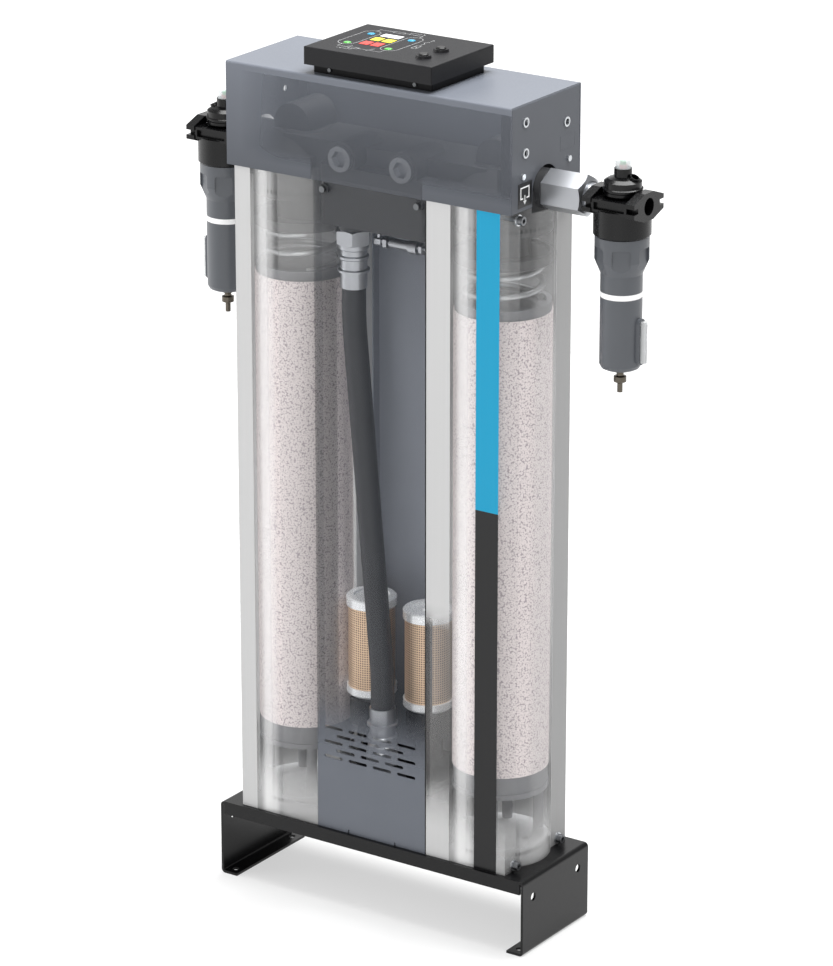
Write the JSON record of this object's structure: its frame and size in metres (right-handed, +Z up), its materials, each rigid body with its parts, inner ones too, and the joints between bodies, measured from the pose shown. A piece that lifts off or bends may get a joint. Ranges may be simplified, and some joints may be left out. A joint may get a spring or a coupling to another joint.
{
  "type": "twin tower desiccant air dryer",
  "caption": "Free-standing compressed air dryer with twin desiccant towers, valve housing, controller and filters on both sides, on a bent sheet base.",
  "frame": {"origin": "on the floor, in the middle of the four bolt holes in the feet", "axes": "+X to the right of the front, +Y to the back, +Z up"},
  "size_m": [0.591, 0.139, 1.017],
  "materials": {
    "frame_paint": "satin black powder coat",
    "column_paint": null,
    "cover_paint": "blue-grey satin paint, shown partly see-through",
    "housing_paint": "dark grey satin paint",
    "steel_screws": "zinc plated",
    "cast_alloy": "dark cast",
    "bright_fittings": "bright turned",
    "grey_rings": "satin",
    "spring_steel": "satin",
    "seal_rubber": "matt",
    "desiccant_beads": "matt beads",
    "hose_rubber": "matt",
    "valve_black": "gloss",
    "silencer_caps": "satin",
    "silencer_mesh": "fine bronze mesh",
    "filter_black": "satin black",
    "bowl_grey": "satin grey",
    "sight_glass": "clear",
    "drain_plastic": "matt",
    "gauge_black": "matt",
    "gauge_clear": "clear",
    "plunger_green": "green above a red base",
    "controller_grey": "satin grey",
    "controller_tray": "matt",
    "button_dark": "satin"
  },
  "bodies": {
    "unit": {"adaptor_left": "bright_fittings", "adaptor_right": "bright_fittings", "base_bolts": "steel_screws", "base_frame": "frame_paint", "bed_support_left": "grey_rings", "bed_support_right": "grey_rings", "closure_left": "grey_rings", "closure_right": "grey_rings", "column_bolts": "steel_screws", "column_left": "column_paint", "column_right": "column_paint", "column_washers": "steel_screws", "controller_lid": "controller_grey", "controller_screws": "steel_screws", "controller_tray": "controller_tray", "cover_screws": "steel_screws", "desiccant_left": "desiccant_beads", "desiccant_right": "desiccant_beads", "drain_valves": "drain_plastic", "end_plate_eyelets": "steel_screws", "end_plate_left": "housing_paint", "end_plate_right": "housing_paint", "end_plate_screws": "steel_screws", "exhaust_valve_left": "valve_black", "exhaust_valve_right": "valve_black", "filter_bowl_left": "bowl_grey", "filter_bowl_right": "bowl_grey", "filter_head_left": "filter_black", "filter_head_right": "filter_black", "front_cover": "cover_paint", "gauge_body_left": "gauge_black", "gauge_body_right": "gauge_black", "gauge_cap_left": "gauge_clear", "gauge_cap_right": "gauge_clear", "hose": "hose_rubber", "hose_elbow": "bright_fittings", "hose_ferrules": "bright_fittings", "hose_nuts": "bright_fittings", "housing_hood": "housing_paint", "lower_valve_block": "cast_alloy", "purge_line": "bright_fittings", "rear_cover": "cover_paint", "sight_glasses": "sight_glass", "silencer_caps_left": "silencer_caps", "silencer_caps_right": "silencer_caps", "silencer_mesh_left": "silencer_mesh", "silencer_mesh_right": "silencer_mesh", "spring_left": "spring_steel", "spring_right": "spring_steel", "tower_seals": "seal_rubber", "upper_sieve_left": "grey_rings", "upper_sieve_right": "grey_rings", "upper_valve_block": "cast_alloy", "valve_plugs": "bright_fittings"},
    "front_button": {"button_front": "button_dark"},
    "back_button": {"button_back": "button_dark"},
    "left_plunger": {"gauge_piston_left": "plunger_green"},
    "right_plunger": {"gauge_piston_right": "plunger_green"}
  },
  "joints": [
    {"name": "front_button_press", "type": "slide", "parent": "unit", "child": "front_button", "axis": [0, 0, -1], "range_m": [0, 0.0015], "stiffness_N_per_m": 400, "springref_m": -0.002},
    {"name": "back_button_press", "type": "slide", "parent": "unit", "child": "back_button", "axis": [0, 0, -1], "range_m": [0, 0.0015], "stiffness_N_per_m": 400, "springref_m": -0.002},
    {"name": "left_plunger_rise", "type": "slide", "parent": "unit", "child": "left_plunger", "axis": [0, 0, 1], "range_m": [0, 0.0035], "stiffness_N_per_m": 60, "springref_m": -0.004},
    {"name": "right_plunger_rise", "type": "slide", "parent": "unit", "child": "right_plunger", "axis": [0, 0, 1], "range_m": [0, 0.0035], "stiffness_N_per_m": 60, "springref_m": -0.004}
  ]
}
